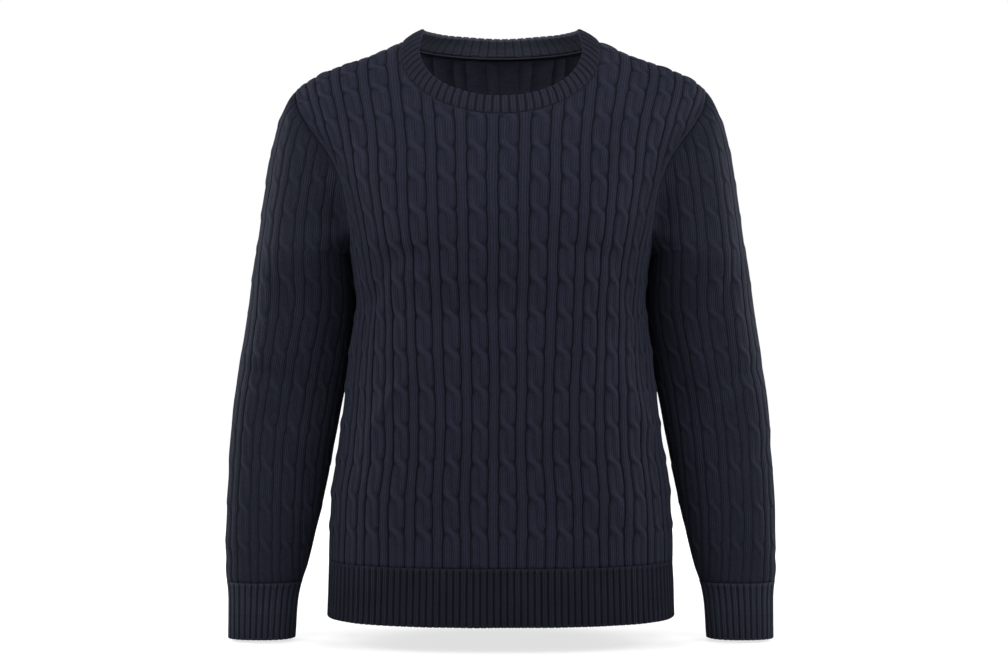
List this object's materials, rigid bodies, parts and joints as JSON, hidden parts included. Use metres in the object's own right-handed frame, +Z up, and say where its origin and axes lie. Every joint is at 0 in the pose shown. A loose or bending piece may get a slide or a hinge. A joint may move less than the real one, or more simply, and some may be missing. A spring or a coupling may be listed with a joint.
{
  "type": "cable knit sweater",
  "caption": "Navy crew-neck sweater in cable knit, filled out as if worn, with ribbed neckband, hem and cuffs.",
  "frame": {"origin": "midway between the neck points of the two shoulder seams, where a wearer's shoulders carry the sweater", "axes": "+Z up, -Y the front, +X the wearer's left"},
  "size_m": [0.5752, 0.2307, 0.6354],
  "materials": {
    "knit_cable": "matte",
    "knit_rib": "matte"
  },
  "bodies": {
    "root": {"front": "knit_cable", "back": "knit_cable", "sleeve_left": "knit_cable", "sleeve_right": "knit_cable", "neckband": "knit_rib", "hem_front": "knit_rib", "hem_back": "knit_rib", "cuff_left": "knit_rib", "cuff_right": "knit_rib"}
  },
  "joints": []
}
